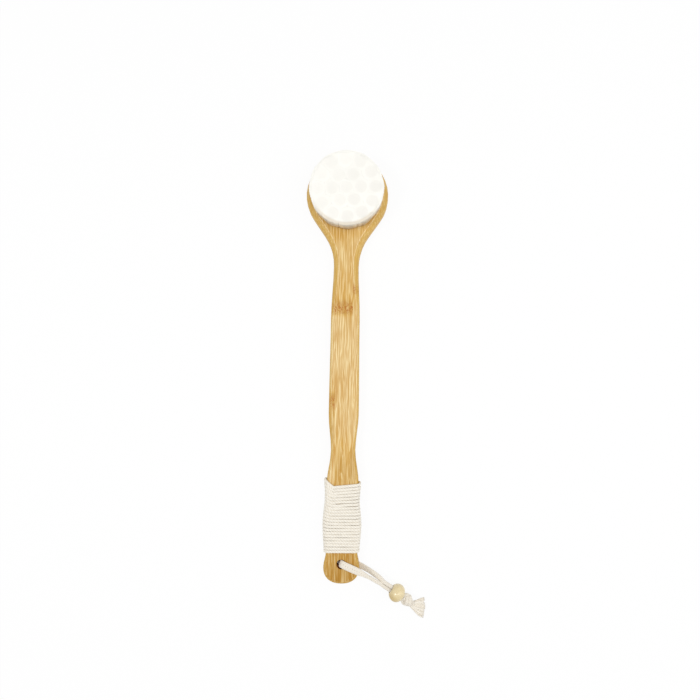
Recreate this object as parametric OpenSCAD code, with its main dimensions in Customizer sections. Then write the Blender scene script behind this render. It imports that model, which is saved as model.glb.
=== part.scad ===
// Body dry brush: a bamboo board glued up from lengthwise strips, with a round head and a
// long waisted handle. Nineteen bristle tufts are stapled into the head, a cotton cord is
// wound round the grip, and a flat cord through the handle's end carries a loose bead
// above a knot with two frayed ends. The board lies on its back: +Z points up through the
// bristles and +Y runs from the handle's end to the head.

/* [Board] */
// Whole length of the board
board_l = 420; // [390:1:460]
// Diameter of the round head
head_d = 80; // [78:1:92]
// Thickness of the board at the head
head_t = 14; // [13:0.5:18]
// Slant of the straight shoulders under the head, from the board's length, in degrees
shoulder_a = 35; // [32:1:38]
// Radius of the hollow curve from the shoulders into the neck
flare_r = 52.5; // [45:0.5:60]
// Width of the neck, below the head
neck_w = 24.2; // [22:0.2:28]
// Width of the shaft, below the neck
shaft_w = 28; // [26:0.2:32]
// Distance from the middle of the head down to the shaft
shaft_drop = 120; // [110:1:130]
// Width of the hand rest, above the waist
hand_w = 29.4; // [27:0.2:34]
// Distance from the waist up to the hand rest
hand_rise = 36; // [28:1:44]
// Width of the waist, above the grip
waist_w = 23.8; // [22:0.1:28]
// Distance from the top of the winding up to the waist
waist_rise = 33; // [28:1:40]
// Width of the rounded end of the handle
end_w = 35.2; // [33:0.2:40]
// Length of the rounded end of the handle
end_l = 16; // [14:0.5:18]
// Fullness of the rounded end, where 2 is an ellipse
end_fullness = 2.3; // [2:0.1:3]

/* [Board edges] */
// Width of the upper edge's bevel round the head and neck
head_edge_w = 5.4; // [3:0.2:6]
// Depth of the upper edge's bevel round the head and neck
head_edge_h = 4.6; // [3:0.2:6]
// Size of the upper edge's bevel on the handle
shaft_edge = 2.6; // [1.6:0.2:3.4]
// Radius of the lower edge round the head
head_base_r = 3; // [2:0.2:4]
// Radius of the lower edge on the handle
shaft_base_r = 2; // [1:0.2:3]

/* [Lamination] */
// Width of one bamboo strip
strip_w = 16; // [14:0.5:18]
// Offset of the middle strip from the board's centre line
strip_shift = -0.8; // [-2:0.1:2]

/* [Grip] */
// Width of the handle at the top of the winding
grip_top_w = 31.4; // [29:0.2:36]
// Width of the handle's dip below the top of the winding
grip_dip_w = 29.6; // [28:0.2:34]
// Place of the dip, as a share of the winding's length
grip_dip_at = 0.24; // [0.15:0.01:0.35]
// Width of the handle's swell under the palm
grip_swell_w = 33.4; // [31:0.2:38]
// Place of the swell, as a share of the winding's length
grip_swell_at = 0.61; // [0.5:0.01:0.75]
// Width of the handle at the foot of the winding
grip_foot_w = 30.4; // [29:0.2:34]
// Turns of cord wound round the grip
wrap_turns = 22; // [12:1:24]
// Width of the wound cord as it lies flattened on the handle
wrap_w = 2.9; // [2.4:0.1:3.2]
// Thickness of the wound cord as it lies flattened on the handle
wrap_t = 2.3; // [2.1:0.1:2.8]
// Distance from the handle's end up to the foot of the winding
wrap_rise = 31; // [28:0.5:36]
// Gap between one turn and the next
wrap_gap = 0.1; // [0.05:0.05:0.3]
// Gap between the wound cord and the handle
wrap_seat = 0.15; // [0.1:0.05:0.4]

/* [Bristles] */
// Diameter of the blind hole that holds one tuft
tuft_hole_d = 8.4; // [7:0.1:9]
// Depth of the blind hole that holds one tuft
tuft_hole_depth = 8; // [6:0.5:10]
// Height of the bristles above the board
bristle_h = 19; // [14:0.5:26]
// Radius of the inner ring of tufts
inner_ring_r = 13.3; // [12.5:0.1:14]
// Radius of the outer ring of tufts, at the board
outer_ring_r = 26; // [25.5:0.1:27.5]
// Outward lean of the outer tufts in degrees
outer_lean = 4; // [0:0.5:6]
// Turn of both rings of tufts about the middle tuft, in degrees
ring_turn = 3; // [-15:1:15]
// Gap between the tips of neighbouring tufts
tip_gap = 0.3; // [0.2:0.1:0.8]
// Gap between a tuft's root and its hole
root_gap = 0.15; // [0.1:0.05:0.3]
// Thickness of the flat wire anchor that staples a tuft
anchor_t = 0.5; // [0.3:0.1:0.8]
// Height of the flat wire anchor that staples a tuft
anchor_h = 2.4; // [1.6:0.2:3]

/* [Hanging cord] */
// Diameter of the hanging hole
hang_hole_d = 9.5; // [9.5:0.1:10.5]
// Distance from the handle's end up to the hanging hole
hang_hole_rise = 19.5; // [19:0.5:22]
// Width of the hanging cord where it lies flat
cord_w = 7.2; // [6:0.1:7.4]
// Thickness of the hanging cord where it lies flat
cord_t = 2; // [1.6:0.1:2]
// Gap between the hanging cord and what it lies on
cord_gap = 0.3; // [0.2:0.05:0.4]
// Diameter of the bead
bead_d = 17.8; // [16:0.2:18.6]
// Length of the bead's oval, before its ends are cut flat
bead_oval_l = 15.4; // [14.8:0.2:17]
// Length of the bead along its bore
bead_l = 13.4; // [12:0.2:14]
// Diameter of the bead's bore
bead_bore_d = 8.2; // [8.2:0.1:9]
// Height of the bead above what the brush lies on
bead_lift = 0.2; // [0.1:0.05:0.4]
// Length of the knot
knot_l = 11; // [9:0.5:13]
// Thickness of the knot
knot_d = 12.6; // [10:0.2:14]
// Length of the frayed ends
fray_l = 13.5; // [10:0.5:18]
// Width of the frayed ends' fan at its tips
fray_w = 20.5; // [14:0.5:22]
// Thickness of the frayed ends' fan at its tips
fray_t = 6; // [4.6:0.2:8]

/* [Hidden] */

cover = 1; // how far a cut runs past the face it opens

// Stations along the board, from the head down to the handle's end.
head_r = head_d / 2;
head_y = board_l / 2 - head_r;
end_y = -board_l / 2;
flare_x = neck_w / 2 + flare_r;
// The shoulders' straight edge leaves the head's circle and would meet the neck's at corner_y.
corner_y = head_y - head_r * sin(shoulder_a)
           - (head_r * cos(shoulder_a) - neck_w / 2) / tan(shoulder_a);
flare_y = corner_y - flare_r * tan(shoulder_a / 2);
shaft_y = head_y - shaft_drop;
wrap_foot_y = end_y + wrap_rise;
wrap_pitch = wrap_w + wrap_gap;
wrap_top_y = wrap_foot_y + wrap_turns * wrap_pitch;
hole_y = end_y + hang_hole_rise;
wrap_l = wrap_top_y - wrap_foot_y;
waist_y = wrap_top_y + waist_rise;
stations = [
    [flare_y, neck_w / 2],
    [shaft_y, shaft_w / 2],
    [waist_y + hand_rise, hand_w / 2],
    [waist_y, waist_w / 2],
    [wrap_top_y, grip_top_w / 2],
    [wrap_top_y - grip_dip_at * wrap_l, grip_dip_w / 2],
    [wrap_top_y - grip_swell_at * wrap_l, grip_swell_w / 2],
    [wrap_foot_y, grip_foot_w / 2],
    [end_y + end_l, end_w / 2]];

// A cubic step from 0 to 1, level at both ends.
function smooth(t) = let (u = min(max(t, 0), 1)) u * u * (3 - 2 * u);

// How far the board has changed from its head section, 0, to its handle section, 1.
function thinning(y) = smooth((flare_y - y) / (flare_y - shaft_y));
function mix(a, b, y) = a + (b - a) * thinning(y);

// The underside rises from the head to the grip by the depth of the winding, so the brush
// lies flat on the back of its head and on the winding.
grip_rise = wrap_t + wrap_seat;
function base_z(y) = grip_rise * thinning(y);

// Half the width of the handle at y, below the neck.
function half_width(y, i = 0) =
    i > len(stations) - 3 || y >= stations[i + 1][0]
        ? let (a = stations[i], b = stations[i + 1])
          a[1] + (b[1] - a[1]) * smooth((a[0] - y) / (a[0] - b[0]))
        : half_width(y, i + 1);

// The right half of the board's outline, from the top of the head to the handle's end.
head_steps = 13;
flare_steps = 5;
station_steps = 4;
end_steps = 8;
half_outline = concat(
    [for (k = [0:head_steps])
        let (a = 90 - (90 + shoulder_a) * k / head_steps)
        [head_r * cos(a), head_y + head_r * sin(a)]],
    [for (k = [0:flare_steps])
        let (a = shoulder_a * (1 - k / flare_steps))
        [flare_x - flare_r * cos(a), flare_y + flare_r * sin(a)]],
    [for (i = [0:len(stations) - 2], k = [1:station_steps])
        let (y = stations[i][0] + (stations[i + 1][0] - stations[i][0]) * k / station_steps)
        [half_width(y), y]],
    [for (k = [1:end_steps])
        let (a = 90 * k / end_steps)
        [end_w / 2 * pow(cos(a), 2 / end_fullness) * (k < end_steps ? 1 : 0),
         end_y + end_l * (1 - pow(sin(a), 2 / end_fullness))]]);
half_n = len(half_outline);
outline_n = 2 * half_n - 2;
outline = [for (i = [0:outline_n - 1])
    i < half_n ? half_outline[i]
               : [-half_outline[outline_n - i][0], half_outline[outline_n - i][1]]];
function unit(v) = v / norm(v);
normals = [for (i = [0:outline_n - 1])
    let (d = outline[(i + 1) % outline_n] - outline[(i + outline_n - 1) % outline_n])
    unit([-d[1], d[0]])];

// The section of the board's edge, as [inset, height] from the top face to the underside.
// The upper bevel is an elliptical round that stops short of level, which leaves a line.
bevel_a = 65;
bevel_steps = 3;
base_steps = 2;
levels = bevel_steps + base_steps + 2;
function edge_level(k, y) =
    k <= bevel_steps
        ? let (a = bevel_a * (1 - k / bevel_steps))
          [mix(head_edge_w, shaft_edge, y) * (1 - cos(a)) / (1 - cos(bevel_a)),
           head_t - mix(head_edge_h, shaft_edge, y) * (1 - sin(a) / sin(bevel_a))]
        : let (a = 90 * (k - bevel_steps - 1) / base_steps,
               r = mix(head_base_r, shaft_base_r, y))
          [r * (1 - cos(a)), base_z(y) + r * (1 - sin(a))];

// The board before it is cut into strips: rings of the outline, drawn in by the edge's
// section, under one more ring that stands above the top face, where each strip is cut flat.
module board_blank() {
    points = [for (k = [-1:levels - 1], i = [0:outline_n - 1])
        let (e = edge_level(max(k, 0), outline[i][1]), p = outline[i] - e[0] * normals[i])
        [p[0], p[1], k < 0 ? head_t + cover : e[1]]];
    last = levels * outline_n;
    sides = [for (k = [0:levels - 1], i = [0:outline_n - 1])
        let (a = k * outline_n + i, b = k * outline_n + (i + 1) % outline_n)
        [a, a + outline_n, b + outline_n, b]];
    under = [for (i = [0:half_n - 2])
        let (a = last + i, b = last + i + 1,
             c = last + (outline_n - i - 1) % outline_n, d = last + (outline_n - i) % outline_n)
        i == 0 ? [a, c, b] : i == half_n - 2 ? [a, d, b] : [a, d, c, b]];
    polyhedron(points, concat([[for (i = [0:outline_n - 1]) i]], sides, under), convexity = 6);
}

// Puts its children at tuft i of a ring, at the board's top face, with +Z along the tuft.
module at_tuft(count, ring_r, lean, i) {
    translate([0, head_y, head_t]) rotate([0, 0, ring_turn - 360 * (i - 1) / count])
        translate([ring_r, 0, 0]) rotate([0, lean, 0]) children();
}
module every_tuft() {
    at_tuft(1, 0, 0, 1) children();
    for (i = [1:6]) at_tuft(6, inner_ring_r, 0, i) children();
    for (i = [1:12]) at_tuft(12, outer_ring_r, outer_lean, i) children();
}

// One strip of the board, from x0 to x1, drilled with the board.
module strip(x0, x1) {
    color("#DDBB80") difference() {
        intersection() {
            board_blank();
            translate([x0, end_y - cover, -cover])
                cube([x1 - x0, board_l + 2 * cover, head_t + cover]);
        }
        every_tuft() translate([0, 0, -tuft_hole_depth])
            cylinder(d = tuft_hole_d, h = tuft_hole_depth + cover, $fn = 48);
        translate([0, hole_y, -cover]) cylinder(d = hang_hole_d, h = head_t + 2 * cover, $fn = 48);
    }
}
function seam(k) = strip_shift + (k - 2.5) * strip_w; // left side of strip k, of 0 to 4
module strip_left_edge() strip(-head_d, seam(1));
module strip_left() strip(seam(1), seam(2));
module strip_centre() strip(seam(2), seam(3));
module strip_right() strip(seam(3), seam(4));
module strip_right_edge() strip(seam(4), head_d);

// A tuft, folded round its anchor at the bottom of the hole and flared to its tip.
anchor_lift = 1; // bristle folded under the anchor
anchor_gap = 0.1;
root_r = tuft_hole_d / 2 - root_gap;
module tuft(tip_r) {
    spread = tip_r - root_r;
    color("#FBFAF6") difference() {
        rotate_extrude($fn = 48) translate([0, -tuft_hole_depth]) polygon([
            [0, 0],
            [root_r, 0],
            [root_r, tuft_hole_depth + 0.6],
            [root_r + 0.45 * spread, tuft_hole_depth + 0.2 * bristle_h],
            [root_r + 0.8 * spread, tuft_hole_depth + 0.55 * bristle_h],
            [tip_r, tuft_hole_depth + bristle_h - 0.8],
            [tip_r - 0.9, tuft_hole_depth + bristle_h - 0.1],
            [0, tuft_hole_depth + bristle_h]]);
        translate([-anchor_t / 2 - anchor_gap, -tuft_hole_d, anchor_lift - tuft_hole_depth])
            cube([anchor_t + 2 * anchor_gap, 2 * tuft_hole_d, anchor_h + 2 * anchor_gap]);
    }
}
inner_tip_r = (inner_ring_r - tip_gap) / 2;
outer_tip_r = (outer_ring_r + bristle_h * sin(outer_lean)) * sin(15) - tip_gap / 2;
module tuft_centre() at_tuft(1, 0, 0, 1) tuft(inner_tip_r);
module tuft_inner(i) at_tuft(6, inner_ring_r, 0, i) tuft(inner_tip_r);
module tuft_outer(i) at_tuft(12, outer_ring_r, outer_lean, i) tuft(outer_tip_r);

module tuft_anchors() {
    color("#B9BCC0") every_tuft()
        translate([-anchor_t / 2, -root_r, anchor_lift + anchor_gap - tuft_hole_depth])
            cube([anchor_t, 2 * root_r, anchor_h]);
}

// A closed tube through rings of points, each ring listed the same way round.
module tube(rings) {
    n = len(rings[0]);
    last = (len(rings) - 1) * n;
    polyhedron(
        [for (ring = rings, p = ring) p],
        concat(
            [[for (j = [n - 1:-1:0]) j]],
            [for (i = [0:len(rings) - 2], j = [0:n - 1])
                let (a = i * n + j, b = i * n + (j + 1) % n)
                [a, b, b + n, a + n]],
            [[for (j = [0:n - 1]) last + j]]),
        convexity = 10);
}
cord_sides = 8;
function oval(centre, side, up, w, t, sides = cord_sides) = [for (j = [0:sides - 1])
    let (a = 360 * (j + 0.5) / sides, grow = 1 / cos(180 / sides))
    centre + side * (w / 2 * grow * cos(a)) + up * (t / 2 * grow * sin(a))];

// The winding goes up the right edge, across the top face, down the left edge and back
// underneath. One turn has a point at each level of the board's edge, on both sides.
turn_n = 2 * levels;
lean_top = 0.08; // rise across the width of the uppermost turn
lean_foot = -0.03; // rise that levels the turns at the foot
function wrap_lean(turn) = lean_top + (lean_foot - lean_top) * turn / wrap_turns;
function section_point(n, y) =
    let (j = n % turn_n,
         k = j < levels ? levels - 1 - j : j - levels,
         e = edge_level(k, y))
    [(half_width(y) - e[0]) * (j < levels ? 1 : -1), e[1]];
function wrap_ring(n) =
    let (turn = n / turn_n,
         y_mid = wrap_top_y - wrap_w / 2 + wrap_pitch / 2 - wrap_pitch * turn,
         here = section_point(n, y_mid),
         before = here - section_point(n + turn_n - 1, y_mid),
         after = section_point(n + 1, y_mid) - here,
         n1 = unit([before[1], -before[0]]), n2 = unit([after[1], -after[0]]),
         out = unit(n1 + n2), mitre = 1 / (out * n1),
         c = here + out * mitre * (wrap_t / 2 + wrap_seat))
    oval([c[0], y_mid + wrap_lean(turn) * c[0], c[1]],
         [0, 1, 0], [out[0], 0, out[1]] * mitre, wrap_w, wrap_t);
module grip_wrap() color("#EBE5D8") tube([for (n = [0:wrap_turns * turn_n - 1]) wrap_ring(n)]);

// The hanging cord, as [x, y, z, squeeze], with x and y counted from the hanging hole. It
// runs from the knot through the bead, over the board, down the hole and back underneath.
// squeeze is 0 where the cord lies flat and 1 where it is bunched up in the bead.
over_z = head_t + cord_gap + cord_t / 2;
under_z = grip_rise - cord_gap - cord_t / 2;
bead_at = [55.1, -28.6, bead_d / 2 + bead_lift];
cord_a = -33; // direction of the cord from the board to the knot
along = [cos(cord_a), sin(cord_a), 0];
across = [-sin(cord_a), cos(cord_a), 0];
bunched_w = 3.2;
bunched_t = 3.6;
leg_gap = 0.8;
leg_step = (bunched_w + leg_gap) / 2;
function leg(t, side) = concat(bead_at + along * t + across * side * leg_step, [1]);
straight_from = -16;
knot_from = bead_l / 2 + 0.4;
over_route = [
    leg(knot_from, -1), leg(2, -1), leg(-8, -1), leg(straight_from, -1),
    [38.5, -19.3, 9.8, 0.8], [34, -16.6, 10.9, 1], [30, -13.8, 12.1, 1], [26, -11.2, 13.4, 0.8],
    [21.8, -8.7, 14.8, 0.4], [17.7, -6.8, over_z, 0.1], [12, -4.4, over_z, 0],
    [5.5, -1.6, over_z, 0], [3.1, -0.6, over_z - 0.1, 0], [1.5, 0.1, over_z - 0.5, 0],
    [0.3, 0.5, over_z - 1.3, 0], [-0.6, 0.6, over_z - 2.6, 0], [-0.9, 0.6, over_z - 4.2, 0]];
under_route = [
    [-0.9, 0.6, under_z + 4.2, 0], [-0.6, 0.6, under_z + 2.6, 0], [0.3, 0.5, under_z + 1.3, 0],
    [1.5, 0, under_z + 0.5, 0], [3.1, -0.6, under_z + 0.1, 0], [5.5, -1.3, under_z, 0],
    [14, -3.7, under_z, 0], [18, -4.9, 1.3, 0.2], [22, -6.4, 1.9, 0.4], [26, -8.2, 3, 0.5],
    [30, -10.2, 4.5, 0.55], [34, -12.3, 6.2, 0.55], [38.3, -14.9, 7.7, 0.7],
    leg(straight_from, 1), leg(-8, 1), leg(2, 1), leg(knot_from, 1)];
cord_route = concat(over_route, under_route);
flat_side = unit([0.3, 0.95, 0]); // the flat cord's width lies along this everywhere
function place(p) = [p[0], p[1] + hole_y, p[2]];
function cord_ring(i) =
    let (n = len(cord_route) - 1,
         d = unit(place(cord_route[min(i + 1, n)]) - place(cord_route[max(i - 1, 0)])),
         s = unit(flat_side - d * (flat_side * d)),
         q = cord_route[i][3])
    oval(place(cord_route[i]), s, cross(d, s), cord_w + (bunched_w - cord_w) * q,
         cord_t + (bunched_t - cord_t) * q);
module hanging_cord() color("#EEE9DE") tube([for (i = [0:len(cord_route) - 1]) cord_ring(i)]);

// Puts its children on the cord at t from the bead's middle, with +Z along the cord.
module on_cord(t, z = bead_at[2]) {
    translate(place([bead_at[0], bead_at[1], z]) + along * t) rotate([0, 90, cord_a]) children();
}
module bead() {
    color("#E7D7B2") on_cord(0) difference() {
        intersection() {
            scale([1, 1, bead_oval_l / bead_d]) sphere(d = bead_d, $fn = 64);
            cylinder(r = bead_d, h = bead_l, center = true, $fn = 64);
        }
        cylinder(d = bead_bore_d, h = bead_l + 2 * cover, center = true, $fn = 48);
    }
}
knot_mid = knot_from + knot_l / 2 + 0.1;
module knot() {
    color("#E9E3D5") on_cord(knot_mid, knot_d / 2 + bead_lift) rotate_extrude($fn = 48) polygon([
        [0, -knot_l / 2], [0.4 * knot_d, -knot_l / 2], [0.47 * knot_d, -0.36 * knot_l],
        [knot_d / 2, 0], [0.47 * knot_d, 0.3 * knot_l], [0.36 * knot_d, 0.46 * knot_l],
        [0.3 * knot_d, knot_l / 2], [0, knot_l / 2]]);
}
// Both cord ends fray into one fan, which leaves the knot at fray_a from the cord's
// direction, bends by fray_bend as it spreads, and is rounded over fray_tip at its end.
fray_from = [knot_mid + knot_l / 2 + cord_gap, -3];
fray_root_w = 6.4;
fray_root_t = 4.4;
fray_a = 8;
fray_bend = 18;
fray_tip = 1.5;
fray_steps = 5;
fray_sides = 12;
function fray_ring(i) =
    let (tip = i > fray_steps,
         q = min(i / fray_steps, 1),
         l = tip ? fray_l : (fray_l - fray_tip) * q,
         a = fray_a + fray_bend * l / fray_l,
         r = fray_l / fray_bend * 180 / PI,
         w = fray_root_w + (fray_w - fray_root_w) * q,
         t = fray_root_t + (fray_t - fray_root_t) * q,
         c = along * (fray_from[0] + r * (sin(a) - sin(fray_a)))
             + across * (fray_from[1] + r * (cos(fray_a) - cos(a))))
    oval(place([bead_at[0], bead_at[1], t / 2 + bead_lift]) + c,
         across * cos(a) - along * sin(a), [0, 0, 1],
         w * (tip ? 0.84 : 1), t * (tip ? 0.5 : 1), fray_sides);
module frayed_ends() color("#E5DED0") tube([for (i = [0:fray_steps + 1]) fray_ring(i)]);

strip_left_edge();
strip_left();
strip_centre();
strip_right();
strip_right_edge();
tuft_centre();
for (i = [1:6]) tuft_inner(i);
for (i = [1:12]) tuft_outer(i);
tuft_anchors();
grip_wrap();
hanging_cord();
bead();
knot();
frayed_ends();
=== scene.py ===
import math

import bpy
import numpy as np
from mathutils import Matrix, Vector


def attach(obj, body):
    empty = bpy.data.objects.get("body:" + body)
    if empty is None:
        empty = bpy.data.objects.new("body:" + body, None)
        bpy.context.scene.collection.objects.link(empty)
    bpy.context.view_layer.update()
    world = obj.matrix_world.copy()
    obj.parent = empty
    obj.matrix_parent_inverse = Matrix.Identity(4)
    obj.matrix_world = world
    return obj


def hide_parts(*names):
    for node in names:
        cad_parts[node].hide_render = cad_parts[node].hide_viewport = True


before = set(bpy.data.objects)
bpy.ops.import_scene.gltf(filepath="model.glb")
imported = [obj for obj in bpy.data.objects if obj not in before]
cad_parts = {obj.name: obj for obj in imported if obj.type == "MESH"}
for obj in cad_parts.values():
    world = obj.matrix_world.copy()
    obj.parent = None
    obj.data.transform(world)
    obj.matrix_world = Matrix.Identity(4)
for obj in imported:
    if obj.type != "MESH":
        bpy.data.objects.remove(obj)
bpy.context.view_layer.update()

mm = 0.001
upward = np.array([0, 0, 1.0])
dice = np.random.default_rng(7)


# shapes on grids

def unitRows(rows):  # each row divided by its own length
    return rows / np.maximum(np.linalg.norm(rows, axis=-1, keepdims=True), 1e-12)


def smoothStep(t):  # a cubic step from 0 to 1, level at both ends
    u = np.clip(t, 0, 1)
    return u * u * (3 - 2 * u)


def evenAngles(count, start=0.0):  # a full turn in even steps; start is a share of one step
    return 2 * np.pi * (np.arange(count) + start) / count


def boxed(wave, power):  # a sine or cosine with fuller shoulders, which makes a circle squarer
    return np.sign(wave) * np.abs(wave) ** power


def ringFaces(rings, sides, closed=False):
    # quads between neighbouring rings, and around each ring; closed joins the last to the first
    i, j = np.meshgrid(np.arange(rings - 1 + closed), np.arange(sides), indexing="ij")
    a, b = i * sides + j, i * sides + (j + 1) % sides
    whole = rings * sides
    return np.stack([a, b, (b + sides) % whole, (a + sides) % whole], -1).reshape(-1, 4)


def endCaps(rings, sides, first=0):  # the polygons that close a tube's start and end
    return [first + np.arange(sides)[::-1], first + (rings - 1) * sides + np.arange(sides)]


def tubeUv(rings, sides, along, share=1.0):
    # the (u, v) of each corner of each quad: u runs round over a share of the map, v along
    i, j = np.meshgrid(np.arange(rings - 1), np.arange(sides), indexing="ij")
    u0, u1 = j / sides * share, (j + 1) / sides * share
    v0, v1 = along[i], along[i + 1]
    corners = [(u0, v0), (u1, v0), (u1, v1), (u0, v1)]
    return np.stack([np.stack(corner, -1) for corner in corners], 2).reshape(-1, 2)


def putMesh(name, points, quads, caps=(), uv=None, values=None):
    # points in metres, quads, then cap polygons; uv has one row per corner of the quads
    mesh = bpy.data.meshes.new(name)
    corners = np.concatenate([quads.ravel()] + [np.asarray(c) for c in caps])
    sizes = np.concatenate([np.full(len(quads), quads.shape[1]), [len(c) for c in caps]]).astype(int)
    mesh.vertices.add(len(points))
    mesh.vertices.foreach_set("co", np.ascontiguousarray(points, np.float32).ravel())
    mesh.loops.add(len(corners))
    mesh.loops.foreach_set("vertex_index", corners.astype(np.int32))
    mesh.polygons.add(len(sizes))
    starts = np.concatenate([[0], np.cumsum(sizes)[:-1]]).astype(np.int32)
    mesh.polygons.foreach_set("loop_start", starts)
    mesh.polygons.foreach_set("use_smooth", np.arange(len(sizes)) < len(quads))  # caps stay flat
    mesh.update(calc_edges=True)
    if uv is not None:
        layer = mesh.uv_layers.new(name="UVMap")
        whole = np.zeros((len(corners), 2), np.float32)
        whole[: len(uv)] = uv
        layer.data.foreach_set("uv", whole.ravel())
    for key, value in (values or {}).items():
        attribute = mesh.attributes.new(key, "FLOAT", "POINT")
        attribute.data.foreach_set("value", np.ascontiguousarray(value, np.float32))
    mesh.validate()
    piece = bpy.data.objects.new(name, mesh)
    bpy.context.scene.collection.objects.link(piece)
    return piece


def putTube(name, rings, along, values=None):
    # rings is (n, sides, 3), counted counter-clockwise as seen from ahead
    n, sides = rings.shape[:2]
    uv = tubeUv(n, sides, along)
    return putMesh(name, rings.reshape(-1, 3), ringFaces(n, sides), endCaps(n, sides), uv, values)


def measuredPath(points, step):
    # Catmull-Rom curve through the points, spaced evenly along its length by about step
    p = np.asarray(points, float)
    p = np.vstack([2 * p[0] - p[1], p, 2 * p[-1] - p[-2]])
    t = np.linspace(0, 1, 40, endpoint=False)[:, None]
    parts = []
    for a, b, c, d in zip(p[:-3], p[1:-2], p[2:-1], p[3:]):
        parts.append(0.5 * (2 * b + (c - a) * t + (2 * a - 5 * b + 4 * c - d) * t ** 2
                            + (3 * b - a - 3 * c + d) * t ** 3))
    dense = np.vstack(parts + [p[-2][None]])
    return evenly(dense, step)


def evenly(dense, step):  # the same curve at even steps of its first three columns' length
    run = np.concatenate([[0], np.cumsum(np.linalg.norm(np.diff(dense[:, :3], axis=0), axis=1))])
    s = np.linspace(0, run[-1], max(int(round(run[-1] / step)), 2) + 1)
    return np.stack([np.interp(s, run, dense[:, k]) for k in range(dense.shape[1])], 1), s


def directions(path):  # unit tangents by central differences
    d = np.empty_like(path)
    d[1:-1] = path[2:] - path[:-2]
    d[0], d[-1] = path[1] - path[0], path[-1] - path[-2]
    return unitRows(d)


def squareTo(direction, wish):  # the part of wish that is square to each direction
    wish = np.broadcast_to(wish, direction.shape)
    return unitRows(wish - direction * np.sum(wish * direction, -1, keepdims=True))


def carried(centre, side, rise, x, y):  # at each centre, a section: x along side and y along rise
    return centre[:, None] + side[:, None] * x[..., None] + rise[:, None] * y[..., None]


# finishes

def operator(operation):  # a method of Signal that adds one Math node
    return lambda self, other: self.math(operation, other)


class Signal:  # one socket of a finish; arithmetic on it adds Math nodes
    __add__ = __radd__ = operator("ADD")
    __sub__ = operator("SUBTRACT")
    __mul__ = operator("MULTIPLY")
    __truediv__ = operator("DIVIDE")
    __pow__ = operator("POWER")

    def __init__(self, finish, socket):
        self.finish, self.socket = finish, socket

    def __rsub__(self, other):
        return self.finish.math("SUBTRACT", other, self)

    def math(self, operation, *others, clamp=False):
        return self.finish.math(operation, self, *others, clamp=clamp)

    def band(self, low, high):  # 0 below low, 1 above high, smooth between
        return self.finish.node("MapRange", {"interpolation_type": "SMOOTHSTEP"},
                                {0: self, 1: low, 2: high, 3: 0.0, 4: 1.0})[0]

    def near(self, middle, reach):  # 1 at middle, 0 from reach away
        return 1 - (self - middle).math("ABSOLUTE").band(0.0, reach)

    def limit(self):  # kept between 0 and 1
        return self.math("ADD", 0.0, clamp=True)

    def wave(self):  # a sine from 0 to 1, one beat for each whole number
        return (self * math.tau).math("SINE") * 0.5 + 0.5


def highest(signals):  # at each place, the largest of them
    first, *rest = signals
    return first.math("MAXIMUM", highest(rest)) if rest else first


class Finish:  # the nodes of a material or of the world
    def __init__(self, owner):  # owner is a new material's name, or the world itself
        self.owner = bpy.data.materials.new(owner) if isinstance(owner, str) else owner
        self.owner.use_nodes = True
        self.tree = self.owner.node_tree
        self.tree.nodes.clear()

    def node(self, kind, settings=None, inputs=None):
        made = self.tree.nodes.new("ShaderNode" + kind)
        for key, value in (settings or {}).items():
            if key == "stops":
                stops = made.color_ramp.elements
                while len(stops) > 1:
                    stops.remove(stops[-1])
                for i, (place, colour) in enumerate(value):
                    stop = stops[0] if i == 0 else stops.new(place)
                    stop.position, stop.color = place, colour
            else:
                setattr(made, key, value)
        for key, value in (inputs or {}).items():
            if isinstance(value, Signal):
                self.tree.links.new(value.socket, made.inputs[key])
            else:
                made.inputs[key].default_value = value
        return [Signal(self, s) for s in made.outputs]

    def math(self, operation, *terms, clamp=False):
        settings = {"operation": operation, "use_clamp": clamp}
        return self.node("Math", settings, dict(enumerate(terms)))[0]

    def place(self):  # object coordinates
        return self.node("TexCoord")[3]

    def split(self, vector):
        return self.node("SeparateXYZ", None, {0: vector})

    def spot(self):  # object coordinates as x, y and z in mm
        return [part * 1000.0 for part in self.split(self.place())]

    def lie(self):  # the piece's own UV map, as u and v
        return self.split(self.node("TexCoord")[2])[:2]

    def value(self, name):  # an attribute of the mesh
        return self.node("Attribute", {"attribute_name": name})[2]

    def moved(self, vector, shift=(0, 0, 0), turn=(0, 0, 0), scale=(1, 1, 1)):
        inputs = {0: vector, 1: shift, 2: turn, 3: scale}
        return self.node("Mapping", {"vector_type": "POINT"}, inputs)[0]

    def join(self, x, y, z):
        return self.node("CombineXYZ", None, {0: x, 1: y, 2: z})[0]

    def noise(self, vector, scale=1.0, detail=2.0, rough=0.5):
        inputs = {"Vector": vector, "Scale": scale, "Detail": detail, "Roughness": rough}
        return self.node("TexNoise", None, inputs)[0]

    def mix(self, factor, a, b, way="MIX"):
        return self.node("Mix", {"data_type": "RGBA", "blend_type": way}, {0: factor, 6: a, 7: b})[2]

    def bump(self, height, distance, strength=1.0):
        return self.node("Bump", None, {"Height": height, "Distance": distance, "Strength": strength})[0]

    def close(self, colour, rough, normal=None, fixed=None):
        inputs = {"Base Color": colour, "Roughness": rough, **(fixed or {})}
        if normal is not None:
            inputs["Normal"] = normal
        shader = self.node("BsdfPrincipled", None, inputs)[0]
        self.node("OutputMaterial", None, {"Surface": shader})
        return self.owner


def tint(red, green, blue):  # a colour given as it shows, from 0 to 255
    return tuple(c / 12.92 if c <= 0.04045 else ((c + 0.055) / 1.055) ** 2.4
                 for c in (red / 255, green / 255, blue / 255)) + (1.0,)


def dress(piece, material):
    piece.data.materials.clear()
    piece.data.materials.append(material)


# camera

lens = {"over": (21.3, -13.4), "height": 520.3, "turn": 0.958, "focal": 26.742857, "film": 36,
        "shift": (-0.0228571, 0.0471429)}

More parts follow.
